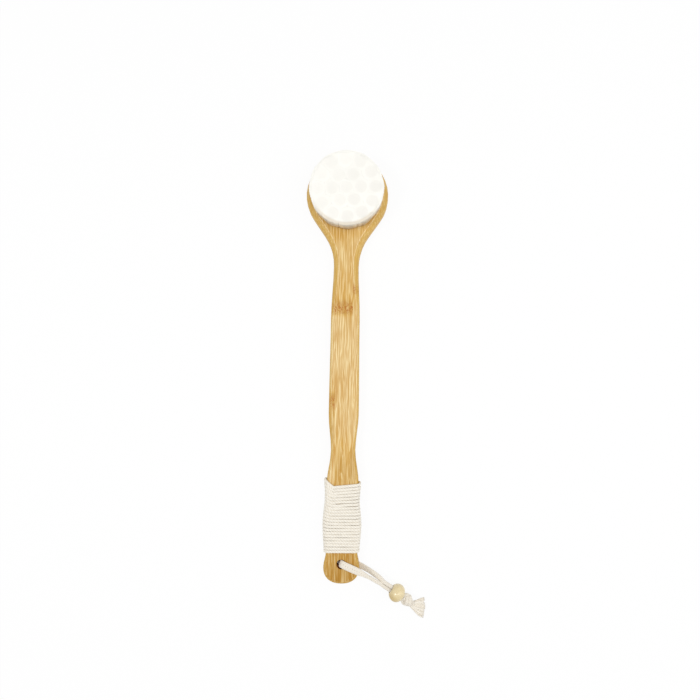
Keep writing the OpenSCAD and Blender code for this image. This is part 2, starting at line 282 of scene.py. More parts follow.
camera = bpy.data.objects.new("camera", bpy.data.cameras.new("camera"))
camera.data.sensor_width = lens["film"]
camera.data.lens = lens["focal"]
camera.data.shift_x, camera.data.shift_y = lens["shift"]
camera.data.clip_start, camera.data.clip_end = 0.01, 20
camera.location = (lens["over"][0] * mm, lens["over"][1] * mm, lens["height"] * mm)
camera.rotation_euler = (0, 0, math.radians(lens["turn"]))
bpy.context.scene.collection.objects.link(camera)
bpy.context.scene.camera = camera

# the hanging cord

# bunched is the section of each leg where the two are squeezed together, apart half the
# distance between them; over and under are the heights of the cord above and below the hole
loop = {"hole": (0.0, -190.5), "angle": -33.0, "bead": (55.1, -28.6, 9.1),
        "flat": (7.2, 2.0), "bunched": (3.55, 3.6), "apart": 1.85,
        "over": 15.3, "under": 1.15, "reach": 8.4, "straight": -16.0, "wide": (0.3, 0.95, 0.0),
        "step": 0.28, "sides": 48, "shoulders": 0.8, "relief": 0.14, "cell": 2.4, "strands": 9}

cordDown = np.array([math.cos(math.radians(loop["angle"])), math.sin(math.radians(loop["angle"])), 0])
cordSide = np.array([-cordDown[1], cordDown[0], 0])
holeSpot = np.array([loop["hole"][0], loop["hole"][1], 0])
beadSpot = np.array(loop["bead"]) + holeSpot
beadFoot = beadSpot * [1, 1, 0]


def leg(t, side, up=0.0):  # a point of the bunched pair, t along from the bead's middle
    spot = np.array(loop["bead"]) + cordDown * t + cordSide * side * loop["apart"] + [0, 0, up]
    return list(spot) + [1.0]


over, under = loop["over"], loop["under"]
# rows of x, y and z from the hole, and how far the cord is bunched: from the knot through the
# bead and over the end, down through the hole, and back below the end to the knot
route = np.array([
    leg(loop["reach"], -1, -1.3), leg(5, -1), leg(-2, -1), leg(-9, -1), leg(loop["straight"], -1),
    [38.5, -19.3, 9.8, 0.9], [34, -16.8, 10.9, 1], [30, -14.1, 12.1, 1], [26, -11.6, 13.4, 0.95],
    [21.8, -9, 14.8, 0.65], [17.7, -6.9, over, 0.2], [12, -4.4, over, 0],
    [5.5, -1.6, over, 0], [3.1, -0.6, over - 0.1, 0], [1.5, 0.1, over - 0.5, 0],
    [0.3, 0.5, over - 1.3, 0], [-0.6, 0.6, over - 2.6, 0], [-0.9, 0.6, over - 4.2, 0],
    [-0.9, 0.6, under + 4.2, 0], [-0.6, 0.6, under + 2.6, 0], [0.3, 0.5, under + 1.3, 0],
    [1.5, 0, under + 0.5, 0], [3.1, -0.6, under + 0.1, 0], [5.5, -1.3, under, 0],
    [14, -3.7, under, 0], [18, -4.9, 1.3, 0.2], [22, -6.4, 1.9, 0.4], [26, -8.2, 3, 0.5],
    [30, -10.2, 4.5, 0.55], [34, -12.3, 6.2, 0.55], [38.3, -14.9, 7.7, 0.7],
    leg(loop["straight"], 1), leg(-9, 1), leg(-2, 1), leg(5, 1), leg(loop["reach"], 1, -1.3)])
cordPath, cordRun = measuredPath(route, loop["step"])
cordCentre = cordPath[:, :3] + holeSpot


def braidRelief(u, v, strands):
    # diagonal strands both ways; where their cell numbers add up even, one set lies on top.
    # Each strand is half a circle across, so the height is the top strand's arc, from its mean.
    a, b = u * strands + v, u * strands - v
    odd = (np.floor(a) + np.floor(b)) % 2
    return np.sqrt(np.clip(1 - (2 * (np.where(odd == 0, a, b) % 1) - 1) ** 2, 0, 1)) - 0.75


def makeLoopCord():
    # an oval with slightly square shoulders, carried along the route; its width lies level,
    # and it narrows and thickens where the route's fourth column says it is bunched
    d = directions(cordCentre)
    side = squareTo(d, np.array(loop["wide"]))
    squeeze = np.clip(cordPath[:, 3], 0, 1)[:, None]
    angle = evenAngles(loop["sides"], 0.5)
    wide = (loop["flat"][0] * (1 - squeeze) + loop["bunched"][0] * squeeze) / 2
    thick = (loop["flat"][1] * (1 - squeeze) + loop["bunched"][1] * squeeze) / 2
    u = np.broadcast_to(angle / (2 * np.pi), (len(d), loop["sides"]))
    v = np.broadcast_to(cordRun[:, None] / loop["cell"], u.shape)
    grow = loop["relief"] * braidRelief(u, v, loop["strands"])
    x = (wide + grow) * boxed(np.cos(angle), loop["shoulders"])
    y = (thick + grow) * boxed(np.sin(angle), loop["shoulders"])
    rings = carried(cordCentre, side, np.cross(d, side), x, y)
    return putTube("loop_cord", rings * mm, cordRun / loop["cell"])


loopCord = makeLoopCord()
print("hanging cord:", round(cordRun[-1], 1), "mm long")

# the bead

# a lip this high rounds into each flat end, and round is how deep the bore's rim curves in
bead = {"across": 17.8, "oval": 15.4, "long": 13.4, "bore": 8.2, "lip": 0.25, "round": 0.5,
        "clear": 0.02, "sides": 128}


def makeBead():
    # an oval of revolution cut flat at both ends and bored through, turned about the cord;
    # the profile is a closed line of (radius, place along) with quarter rounds at the rims
    wide, tall, half, bore = (bead[key] / 2 for key in ("across", "oval", "long", "bore"))
    edge = math.asin((half - bead["lip"]) / tall)
    t = np.linspace(-edge, edge, 56)
    ball = np.stack([wide * np.cos(t), tall * np.sin(t)], 1)
    rimRadius, rimPlace = ball[-1]
    q = np.linspace(0, 1, 9)[1:]
    lip = np.stack([bore + (rimRadius - bore) * (1 - q),
                    rimPlace + (half - rimPlace) * np.sin(q * np.pi / 2)], 1)
    inner = np.stack([bore - bead["clear"] * q, half - bead["round"] * q ** 2], 1)
    deep = half - 2 * bead["round"]
    wall = np.stack([np.full(12, bore - bead["clear"]), np.linspace(deep, -deep, 12)], 1)
    top = np.vstack([lip, inner])
    profile = np.vstack([ball, top, wall, top[::-1] * [1, -1]])
    turn = evenAngles(bead["sides"])
    out = cordSide[None] * np.cos(turn)[:, None] + upward[None] * np.sin(turn)[:, None]
    grid = beadSpot + profile[:, None, 1:] * cordDown + profile[:, None, :1] * out[None]
    quads = ringFaces(len(profile), bead["sides"], closed=True)
    return putMesh("bead_turned", grid.reshape(-1, 3) * mm, quads)


beadPiece = makeBead()
print("bead turned")

# the knot

# the tape's turns in the knot, each row (along, across, up, width, thickness) from below the
# bead's middle; face is the way that the tape's width points as it goes
knot = {"step": 0.3, "sides": 28, "relief": 0.12, "strands": 4.5, "shoulders": 0.85, "offset": 0.3,
        "turns": {
    "band": {"face": [(1, 0.1, 0), (1, 0.35, 0), (1, 0.1, 0)], "apart": 1.5, "rows": [
        (13.4, 0.1, 1.9, 3.0, 2.2), (12.3, 2.4, 2.6, 3.0, 2.2), (12.0, 3.4, 5.2, 3.0, 2.1),
        (12.3, 2.9, 8.0, 3.0, 2.1), (13.1, 1.1, 9.7, 3.1, 2.2), (14.2, -1.5, 10.0, 3.2, 2.2),
        (15.2, -3.8, 8.5, 3.1, 2.2), (15.7, -4.9, 5.9, 3.0, 2.2), (15.4, -4.2, 3.2, 2.9, 2.2),
        (14.5, -2.0, 2.0, 2.8, 2.2)]},
    "low": {"face": [(0, 1, 0.3), (0.55, 0.75, 0.4), (-0.2, 1, 0.3)], "apart": 1.25, "rows": [
        (6.9, -0.4, 8.6, 2.5, 3.0), (8.6, -1.4, 8.4, 2.5, 2.8), (10.0, -3.4, 7.4, 2.6, 2.6),
        (12.4, -5.1, 6.0, 2.7, 2.6), (15.0, -5.0, 4.9, 2.8, 2.8), (17.2, -4.0, 4.4, 3.0, 2.8),
        (19.6, -3.1, 3.4, 3.0, 3.0), (21.0, -2.8, 3.2, 2.8, 2.8)]},
    "high": {"face": [(0, 1, -0.2), (0.2, 1, -0.4), (0, 1, 0)], "apart": 1.3, "rows": [
        (6.9, 0.8, 8.8, 2.7, 3.0), (8.8, 1.5, 8.4, 2.8, 2.8), (10.8, 2.2, 6.8, 2.9, 2.8),
        (13.4, 1.6, 5.4, 3.0, 3.0), (16.2, -0.4, 5.6, 3.0, 3.0), (18.6, -2.0, 4.2, 3.0, 3.0),
        (20.6, -2.3, 3.4, 2.9, 2.8)]}}}


def tapeRings(rows, face, aside):
    # one tape: an oval of the rows' width and thickness carried along a curve through the
    # rows, set aside along its own width; the width's direction turns evenly through face
    line, run = measuredPath(rows, knot["step"])
    d = directions(line[:, :3])
    q = run / run[-1] * (len(face) - 1)
    wish = np.stack([np.interp(q, np.arange(len(face)), part) for part in np.array(face, float).T], 1)
    side = squareTo(d, wish)
    angle = evenAngles(knot["sides"], 0.5)
    u = np.broadcast_to(angle / (2 * np.pi), (len(line), knot["sides"]))
    v = np.broadcast_to(run[:, None] / loop["cell"], u.shape)
    grow = knot["relief"] * braidRelief(u, v, knot["strands"])
    x = (line[:, 3:4] / 2 + grow) * boxed(np.cos(angle), knot["shoulders"])
    y = (line[:, 4:5] / 2 + grow) * boxed(np.sin(angle), knot["shoulders"])
    return carried(line[:, :3] + side * aside, side, np.cross(d, side), x, y), run / loop["cell"]


def makeKnot():
    # every turn is a pair of tapes side by side; the rows count along and across the cord
    base = np.stack([cordDown, cordSide, upward])
    points, quads, caps, uvs, count = [], [], [], [], 0
    m = knot["sides"]
    for turn in knot["turns"].values():
        for way in (-1, 1):
            rings, along = tapeRings(turn["rows"], turn["face"], way * turn["apart"])
            n = len(rings)
            points.append((rings @ base + beadFoot).reshape(-1, 3))
            quads.append(ringFaces(n, m) + count)
            uvs.append(tubeUv(n, m, along + way * knot["offset"], 0.5))
            caps += endCaps(n, m, count)
            count += n * m
    return putMesh("knot_tied", np.vstack(points) * mm, np.vstack(quads), caps, np.vstack(uvs))


knotPiece = makeKnot()
print("knot tied")

# the frayed ends

# leave and bend are the fan's first angle to the cord and how far it turns; long is its length
# at its lower edge, middle and upper edge; root and tip are its width and thickness at the knot
# and at the end, and eased is the share of that growth that sets in softly. uneven is how much
# locks and strands differ in length, and length keeps to the shares in cut. core is the inner
# form's share of the width, thickness and length
# the core's tone is painted shade on the strands deeper down
fray = {"from": 19.4, "aside": -3.4, "leave": 9.0, "bend": 17.0, "long": (13.8, 14.6, 11.8),
        "root": (5.8, 3.6), "tip": (20.4, 3.0), "lift": 0.25, "strands": 2900, "shell": 0.68,
        "thick": 0.17, "taper": 0.3, "rings": 9, "sides": 4, "eased": 0.25, "uneven": (0.03, 0.02),
        "cut": (0.85, 1.05), "wave": 0.45, "rise": 0.4, "beats": (0.6, 1.5), "stray": 0.05,
        "locks": 15, "pull": 0.15, "own": 0.3, "seed": 21, "core": (0.94, 0.88, 0.96),
        "coreSides": 48, "coreShade": 0.6}


def fanLines(across, height, reach, wave, lift):
    # lines from the knot out over a fan whose middle line is an arc: across and height, from
    # -1 to 1, keep their share of the fan's width and thickness, which grow on the way
    q = np.linspace(0, 1, fray["rings"])
    bend, leave = math.radians(fray["bend"]), math.radians(fray["leave"])
    middle = fray["long"][1]
    radius = middle / bend
    a = leave + bend * reach[:, None] * q / middle
    t = fray["from"] + radius * (np.sin(a) - math.sin(leave))
    s = fray["aside"] + radius * (math.cos(leave) - np.cos(a))
    grow = smoothStep(q * 1.15) * fray["eased"] + q * (1 - fray["eased"])
    wide, thick = ((root + (tip - root) * grow) / 2 for root, tip in zip(fray["root"], fray["tip"]))
    w = across * wide + wave
    z = fray["lift"] + thick + height[:, None] * thick + lift
    z = np.maximum(z, fray["lift"] + fray["thick"])  # no strand dips into what it lies on
    flat = (t - np.sin(a) * w)[..., None] * cordDown + (s + np.cos(a) * w)[..., None] * cordSide
    return beadFoot + flat + z[..., None] * upward


def fanReach(across):  # the fan's length at a place from -1 to 1 across it
    return np.interp(across, (-1, 0, 1), fray["long"])


def fanStrands():
    # strands start packed in the outer shell of an oval; each leans towards its lock of
    # neighbours and waves with it, more towards the tips. With four sides their ends are quads.
    n, k, m, locks = fray["strands"], fray["rings"], fray["sides"], fray["locks"]
    share = np.sqrt(dice.uniform(fray["shell"], 1, n))
    turn = dice.uniform(0, 2 * np.pi, n)
    across, height = share * np.cos(turn), share * np.sin(turn)
    lock = np.round(across * locks / 2)
    own = (lock + locks // 2 + 1).astype(int)
    chance = np.random.default_rng(fray["seed"])  # what a lock's strands have in common
    ends = chance.normal(0, fray["uneven"][0], locks + 2)[own]
    beats = chance.uniform(*fray["beats"], (locks + 2, 2))[own]
    start = chance.uniform(0, 2 * np.pi, (locks + 2, 2))[own]
    reach = fanReach(across) * (0.99 + ends + dice.normal(0, fray["uneven"][1], n)).clip(*fray["cut"])
    q = np.linspace(0, 1, k)
    free = smoothStep(q)[None]
    wave = free * (fray["wave"] * np.sin(2 * np.pi * beats[:, :1] * q + start[:, :1])
                   + fray["stray"] * np.sin(2 * np.pi * q * 1.3 + turn[:, None] * 3))
    lift = fray["rise"] * fray["wave"] * free * np.sin(2 * np.pi * beats[:, 1:] * q + start[:, 1:])
    pull = fray["pull"] * smoothStep(q * 1.3)[None]
    leaning = across[:, None] * (1 - pull) + (lock * 2 / locks)[:, None] * pull
    line = fanLines(leaning, height, reach, wave, lift)
    d = unitRows(np.gradient(line, axis=1))
    side = unitRows(np.cross(d, upward))
    up = np.cross(side, d)
    turn = evenAngles(m)
    size = fray["thick"] * (1 - fray["taper"] * q)[None, :, None, None]
    arm = up[:, :, None] * np.cos(turn)[:, None] + side[:, :, None] * np.sin(turn)[:, None]
    ring = line[:, :, None] + size * arm
    first = (np.arange(n) * k * m)[:, None]
    walls = (ringFaces(k, m)[None] + first[..., None]).reshape(-1, 4)
    foot, tip = endCaps(k, m)
    quads = np.vstack([walls, tip + first, foot + first])
    toneAndShade = dice.uniform(0, 1, n) * fray["own"]
    toneAndShade = toneAndShade + chance.uniform(0, 1, locks + 2)[own] * (1 - fray["own"])
    return ring.reshape(-1, 3), quads, np.repeat(toneAndShade, k * m)


def fanCore():  # the strands deeper down, as one closed form with an oval section
    turn = evenAngles(fray["coreSides"])
    wide, tall, far = fray["core"]
    across, height = wide * np.cos(turn), tall * np.sin(turn)
    return fanLines(across[:, None], height, fanReach(across) * far, 0.0, 0.0).transpose(1, 0, 2)


def makeFray():
    points, quads, toneAndShade = fanStrands()
    core = fanCore()
    rings, sides = core.shape[:2]
    quads = np.vstack([quads, ringFaces(rings, sides) + len(points)])
    caps = endCaps(rings, sides, len(points))
    # the core gets painted shade
    toneAndShade = np.concatenate([toneAndShade, np.full(rings * sides, fray["coreShade"])])
    points = np.vstack([points, core.reshape(-1, 3)]) * mm
    return putMesh("frayed_fan", points, quads, caps, None, {"toneAndShade": toneAndShade})


frayPiece = makeFray()
print("ends frayed:", fray["strands"], "strands")

# the winding on the grip

# the handle's section is a rectangle with round corners, from under to face, and the cord's
# middle line lies seat and half its thickness outside it; heart is a share of x and a height
# inside the handle. lean is the turns' slope at first and from leanTurns on. From the kink to
# fanEdge the turns fan out, the first by fan and less down to fanTurns; soften rounds the kink,
# more for each turn. slack moves some turns round slackAt. Each drift is a size, seed and beat.
winding = {"top": -113.0, "turns": 22, "pitch": 3.0, "wide": 3.0, "thick": 2.3, "square": 0.78,
           "seat": 0.15, "half": 16.0, "under": 2.45, "face": 14.0, "corner": 3.0, "heart": (0.55, 8.2),
           "points": 400, "step": 0.46, "sides": 16, "lean": (0.07, -0.025), "leanTurns": 12,
           "fan": 9.6, "fanTurns": 17.0, "fanFall": 1.2, "fanMost": 1.25, "kink": -8.6,
           "fanEdge": -18.5, "soften": (1.1, 0.11), "flatten": 0.5,
           "slack": {5: 0.22, 6: -0.34, 7: -0.12}, "slackAt": -4, "slackReach": 4.2,
           "driftAlong": ((0.09, 3, 1.0), (0.05, 5, 3.1)), "driftOut": (0.07, 9, 1.7),
           "driftSize": (0.02, 11, 2.3), "twist": 8.4, "plies": 3, "groove": 0.09, "grooveEdge": 2.2}
handleWidths = np.array([[-60, 26.6], [-80, 23.8], [-113, 31.4], [-128.84, 29.6], [-153.26, 33.4],
                         [-179, 30.4], [-194, 35.2]])


def handleHalf(y):  # half the handle's width, eased between the widths given along it
    ys, ws = handleWidths[::-1, 0], handleWidths[::-1, 1]
    i = np.clip(np.searchsorted(ys, y) - 1, 0, len(ys) - 2)
    t = (y - ys[i]) / (ys[i + 1] - ys[i])
    return (ws[i] + (ws[i + 1] - ws[i]) * smoothStep(t)) / 2


def windingSection(n):
    # the cord's middle line round the handle, as a rectangle with round corners, from the
    # middle of the underside up the right edge; its flats stretch with the handle's width
    w = winding
    off = w["thick"] / 2 + w["seat"]
    r, flat = w["corner"], w["half"] - w["corner"]
    low, high = w["under"] + r, w["face"] - r
    line = [(0.0, w["under"] - off)]
    for cx, cz, start in ((flat, low, -90), (flat, high, 0), (-flat, high, 90), (-flat, low, 180)):
        t = np.radians(start + np.linspace(0, 90, 17))
        line += list(zip(cx + (r + off) * np.cos(t), cz + (r + off) * np.sin(t)))
    line += [(0.0, w["under"] - off)]
    even, run = evenly(np.array([[x, z, 0] for x, z in line]), 0.05)
    u = run / run[-1]
    x, z = np.interp(n, u, even[:, 0]), np.interp(n, u, even[:, 1])
    return x, z, np.clip(x / flat, -1, 1)


def drift(turn, size, seed, beat):  # smooth chance along the cord, by sines of unrelated beats
    beats = np.random.default_rng(seed).uniform(0.6, 1.6, 5) * beat
    start = np.random.default_rng(seed + 1).uniform(0, 6.28, 5)
    return size * (np.sin(2 * np.pi * turn[:, None] * beats + start).mean(1) * 1.6)


def windingPath():
    # a point for each step of turn: round the section by its fraction, and down the handle by
    # its pitch, plus the lean across the handle, the fan left of the kink and a little drift
    w = winding
    turn = np.linspace(0, w["turns"], w["turns"] * w["points"] + 1)
    x0, z, share = windingSection(turn % 1)
    middle = w["top"] - w["wide"] / 2 - w["pitch"] * (turn - 0.5)
    x = x0 + (handleHalf(middle) - w["half"]) * share
    lean = w["lean"][0] + (w["lean"][1] - w["lean"][0]) * smoothStep(turn / w["leanTurns"])
    left = np.clip(1 - turn / w["fanTurns"], 0, 1)
    off = np.clip((w["kink"] - x) / (w["kink"] - w["fanEdge"]), 0, w["fanMost"])
    off = off ** (w["soften"][0] + w["soften"][1] * turn)
    y = middle + lean * x + w["fan"] * left ** w["fanFall"] * off
    for chance in w["driftAlong"]:
        y = y + drift(turn, *chance)
    gap = np.exp(-((x - w["slackAt"]) / w["slackReach"]) ** 2) * (z > w["face"])
    y = y + gap * sum(move * (np.floor(turn) == number) for number, move in w["slack"].items())
    loose = w["fan"] * w["fanFall"] / w["fanTurns"] * left ** (w["fanFall"] - 1) * off / w["wide"]
    even, run = evenly(np.column_stack([x, y, z, turn, loose]), w["step"])
    return even[:, :3], even[:, 3], even[:, 4], run


def makeWinding():
    # an oval with square shoulders lies flat round the handle; its plies are shallow grooves
    # that twist along it. out points away from the handle's heart.
    w = winding
    line, turn, loose, run = windingPath()
    d = directions(line)
    side = squareTo(d, np.array([0, 1.0, 0]))
    out = np.cross(d, side)
    inside = np.stack([line[:, 0] * w["heart"][0], line[:, 1], np.full(len(line), w["heart"][1])], 1)
    out = out * np.sign(np.sum(out * (line - inside), 1))[:, None]
    side = np.cross(out, d)
    line = line + out * drift(turn, *w["driftOut"])[:, None]
    angle = evenAngles(w["sides"])
    ply = np.abs(((angle[None] / (2 * np.pi) - run[:, None] / w["twist"]) * w["plies"]) % 1 - 0.5) * 2
    r = 1 - w["groove"] * ply ** w["grooveEdge"]
    size = 1 + drift(turn, *w["driftSize"])
    spread = (size + w["flatten"] * loose)[:, None]  # flatter where the turns fan out
    a = w["wide"] / 2 * spread * r * boxed(np.cos(angle), w["square"])
    b = w["thick"] / 2 * size[:, None] * r * boxed(np.sin(angle), w["square"])
    rings = carried(line, side, out, a, b)
    return putTube("grip_winding", rings * mm, run / w["twist"], {"ply": ply.ravel()})


windingPiece = makeWinding()
print("grip wound:", len(windingPiece.data.polygons), "faces")

# the bristles

# inner and outer are the tuft rings at the tips, outerRoot the outer ring of holes, turn the
# rings' angle. root is a hole's radius, which tips at widest from the tuft's middle reach. The
# tips fill the round pad, and splay is how soon bristles spread on their way up. The shade disc is
# where the painted shade on the middle of a tuft begins and ends to fade; the names with core are its
# closed inside
tufts = {"middle": (0.0, 170.0), "face": 14.0, "sunk": 1.2, "root": 4.0, "widest": 8.6, "gather": 0.85,
         "inner": 13.3, "outer": 27.33, "outerRoot": 26.0, "outerPull": 0.35, "turn": 3.0,
         "pad": 35.3, "height": 19.0, "short": 0.03, "crown": 0.00018, "rim": 2.6, "rimDrop": 1.1,
         "bristles": 42000, "thick": 0.2, "splay": 0.11, "stray": 0.3, "scallop": 0.006,
         "uneven": 0.03, "loose": 0.08, "levels": (0.0, 0.055, 0.3, 1.0), "shadeDisc": (4.8, 6.9),
         "coreLevels": (0.0, 0.055, 0.15, 0.3, 0.65, 1.0), "coreLids": (0.85, 0.6, 0.3),
         "coreShadeFade": 1.7, "coreUnder": 0.12, "coreVary": 0.08, "inset": 0.25, "sectors": 56}


def tipHeight(x, y):  # the pad is cut level, a little crowned, and rounded over at its rim
    g = tufts
    r = np.hypot(x, y)
    over = smoothStep((r - (g["pad"] - g["rim"])) / g["rim"])
    return g["face"] + g["height"] - g["short"] - g["crown"] * r ** 2 - g["rimDrop"] * over ** 2


def tuftPlaces():  # the middles of the tufts at the tips and in their holes, centre first
    g = tufts
    names, tips, roots = ["centre"], [(0.0, 0.0)], [(0.0, 0.0)]
    for word, count, ring, rootRing in (("inner_", 6, g["inner"], g["inner"]),
                                        ("outer_", 12, g["outer"], g["outerRoot"])):
        t = np.radians(g["turn"] - 360 * np.arange(count) / count)
        names += [word + str(k + 1) for k in range(count)]
        tips += list(zip(ring * np.cos(t), ring * np.sin(t)))
        roots += list(zip(rootRing * np.cos(t), rootRing * np.sin(t)))
    return names, np.array(tips), np.array(roots)


def rootOf(off, far, hole):  # roots fill the round hole in the order of the tips
    share = np.clip(far / tufts["widest"], 0, 1) ** tufts["gather"]
    return hole + off / far[:, None] * tufts["root"] * share[:, None]


def splayed(root, tip, top, levels):
    # points at each level of a bristle: it leaves its hole, spreads by level to the power of
    # splay towards its tip's place, and rises evenly to its top
    q = np.array(levels)
    low = tufts["face"] - tufts["sunk"]
    flat = root[:, None] + (tip - root)[:, None] * (q ** tufts["splay"])[None, :, None]
    rise = low + (top[:, None] - low) * q
    return np.concatenate([flat + np.array(tufts["middle"]), rise[..., None]], -1)


def tuftBristles(tip, off, far, hole):
    # each bristle is three-sided, closed at its tip and open in its hole
    g = tufts
    m, k = len(tip), len(g["levels"])
    tops = tipHeight(*tip.T) + dice.normal(0, g["uneven"], m)
    line = splayed(rootOf(off, far, hole), tip, tops, g["levels"])
    turn = dice.uniform(0, 2 * np.pi, (m, 1)) + evenAngles(3)
    arm = g["thick"] * np.stack([np.cos(turn), np.sin(turn), np.zeros((m, 3))], -1)
    points = (line[:, :, None] + arm[:, None]).reshape(-1, 3)
    start = np.arange(m)[:, None] * k * 3
    quads = (ringFaces(k, 3)[None] + start[..., None]).reshape(-1, 4)
    caps = list((k - 1) * 3 + np.arange(3) + start)
    # painted shade on the middle of the tuft's cut ends
    toneAndShade = 1 - smoothStep((far - g["shadeDisc"][0]) / (g["shadeDisc"][1] - g["shadeDisc"][0]))
    return points, quads, caps, np.repeat(toneAndShade, k * 3), np.tile(np.repeat(g["levels"], 3), m)


def tuftCore(off, far, spot, hole):
    # the packed inside of a tuft: a form just within its outermost bristles in each sector,
    # with rings over its top that follow the pad's height
    g = tufts
    n = g["sectors"]
    way = evenAngles(n, 0.5)
    turned = np.arctan2(off[:, 1], off[:, 0]) % (2 * np.pi)
    slot = np.floor(turned / (2 * np.pi) * n).astype(int) % n
    reach = np.zeros(n)
    np.maximum.at(reach, slot, far)
    reach = (np.roll(reach, 1) + 4 * reach + np.roll(reach, -1)) / 6 + 0.05
    ray = np.stack([np.cos(way), np.sin(way)], 1)
    edge = spot + ray * reach[:, None]
    edge = edge * np.minimum(1, (g["pad"] - g["inset"]) / np.linalg.norm(edge, axis=1))[:, None]
    under = g["coreUnder"] + dice.uniform(0, g["coreVary"])
    root = rootOf(edge - spot, reach, hole) - ray * g["inset"]
    wall = splayed(root, edge, tipHeight(*edge.T) - under, g["coreLevels"])
    lids = []
    for part in g["coreLids"]:
        inner = spot + ray * reach[:, None] * part
        lids.append(np.column_stack([inner + np.array(g["middle"]), tipHeight(*inner.T) - under]))
    share = np.array([1] * len(g["coreLevels"]) + list(g["coreLids"]))[:, None] * reach
    # painted shade on the middle of the core's top, as on the bristles
    toneAndShade = 1 - smoothStep((share.ravel() - g["shadeDisc"][0]) / g["coreShadeFade"])
    level = np.repeat(np.array(g["coreLevels"] + (1.0,) * len(lids)), n)
    return np.concatenate([wall.transpose(1, 0, 2), np.array(lids)]), toneAndShade, level


def makeTuft(name, tip, spot, hole):
    off = tip - spot
    far = np.linalg.norm(off, axis=1)
    points, quads, caps, toneAndShade, level = tuftBristles(tip, off, far, hole)
    core, coreShade, coreLevel = tuftCore(off, far, spot, hole)
    rings, sides = core.shape[:2]
    quads = np.vstack([quads, ringFaces(rings, sides) + len(points)])
    caps.append(endCaps(rings, sides, len(points))[1])
    values = {"toneAndShade": np.concatenate([toneAndShade, coreShade]), "level": np.concatenate([level, coreLevel])}
    points = np.vstack([points, core.reshape(-1, 3)]) * mm
    return putMesh("bristles_" + name, points, quads, caps, None, values)


def makeBristles():
    # tips are spread evenly over the round pad, by the golden angle and a little chance;
    # each goes to its nearest tuft, or to the next one where the two are about as near
    g = tufts
    i = np.arange(g["bristles"]) + 0.5
    r = g["pad"] * np.sqrt(i / g["bristles"])
    a = i * math.pi * (3 - math.sqrt(5))
    rim = smoothStep((r / g["pad"] - 0.8) / 0.2)  # only the outer fifth of the pad is scalloped
    scallop = 1 + g["scallop"] * np.cos(12 * (a - math.radians(g["turn"]))) * rim
    tips = np.stack([r * np.cos(a), r * np.sin(a)], 1) * scallop[:, None]
    tips = tips + dice.normal(0, g["loose"], (len(r), 2))
    names, spots, holes = tuftPlaces()
    gap = np.linalg.norm(tips[:, None] - spots[None], axis=2)
    gap[:, 7:] -= g["outerPull"]  # the outer ring's tufts take a little more
    own = (gap + dice.normal(0, g["stray"], gap.shape)).argmin(1)
    return [makeTuft(name, tips[own == k], spots[k], holes[k]) for k, name in enumerate(names)], names


bristlePieces, tuftNames = makeBristles()
print("bristles set:", sum(len(p.data.polygons) for p in bristlePieces), "faces")

# finishes of the pieces

# tones go from pale to golden wood; seams are the glue lines' places across the board, and bore
# is where the hole's wall ends and begins; grain is how fine each pattern is across and along
# the colours for the bevels, the line along the top edge and the bore are painted shade, a painted
# highlight and painted shade
bamboo = {"tones": [(0.0, tint(220, 191, 141)), (0.45, tint(210, 169, 91)), (1.0, tint(173, 126, 34))],
          "pale": tint(242, 222, 170), "deep": (0.84, 0.71, 0.44, 1.0), "fibre": tint(188, 134, 52),
          "mark": tint(172, 102, 30), "bevel": tint(202, 163, 77), "edgeHighlight": tint(248, 230, 188),
          "boreShade": tint(184, 106, 46), "seams": (-24.8, -8.8, 7.2, 23.2), "seam": 0.22,
          "long": 420.0, "richest": 1.5, "face": 14.0, "bore": (5.4, 5.0),
          "grain": {"waver": (0.16, 0.022), "broad": (0.2, 0.008), "fibre": (1.15, 0.026),
                    "fine": (2.0, 0.05), "dash": (1.5, 0.03), "pores": (2.4, 1.3)}}
# how golden each strip is along its length, as (place in mm, share of gold); the rise just below the pad
# is painted shade, and the rise at the handle's end is partly painted shade of its rounded edge
goldAndShade = {
    "left": [(-210, 1.45), (-195, 1.3), (-180, 1.1), (-115, 0.1), (-103, 0.0), (-92, 0.15), (-77, 0.6),
             (-60, 1.05), (-47, 0.85), (-38, 0.75), (-25, 0.85), (-21, 0.25), (20, 0.06), (50, 0.06),
             (53, 0.85), (66, 0.85), (86, 0.7), (113, 0.5), (126, 0.5), (136, 0.6), (210, 0.65)],
    "centre": [(-210, 1.4), (-180, 1.2), (-115, 0.9), (-95, 0.85), (-79, 0.6), (-62, 0.3), (-30, 0.15),
               (10, 0.12), (40, 0.12), (50, 0.25), (54, 0.8), (64, 0.85), (70, 0.45), (86, 0.4),
               (113, 0.35), (126, 0.45), (133, 0.6), (142, 0.7), (210, 0.7)],
    "right": [(-210, 1.45), (-180, 1.2), (-115, 1.1), (-97, 1.15), (-77, 0.75), (-64, 0.0), (-52, 0.0),
              (-38, 0.25), (-26, 0.3), (-10, 0.15), (40, 0.08), (62, 0.25), (71, 0.55), (74, 0.8),
              (84, 0.85), (99, 0.65), (113, 0.5), (124, 0.2), (131, 0.45), (150, 0.55), (210, 0.55)],
}
# each strip's growth rings, as (place in mm, reach to either side)
growthRings = {"left": [(-32.5, 8.4), (59.5, 6.2)], "centre": [(59.5, 6.2)], "right": [(77.5, 5.0)]}
cotton = {"Specular IOR Level": 0.15, "Sheen Weight": 0.2}


def distance(x, y, spot):  # how far a place lies from a spot, seen from above
    return ((x - spot[0]) ** 2.0 + (y - spot[1]) ** 2.0).math("SQRT")


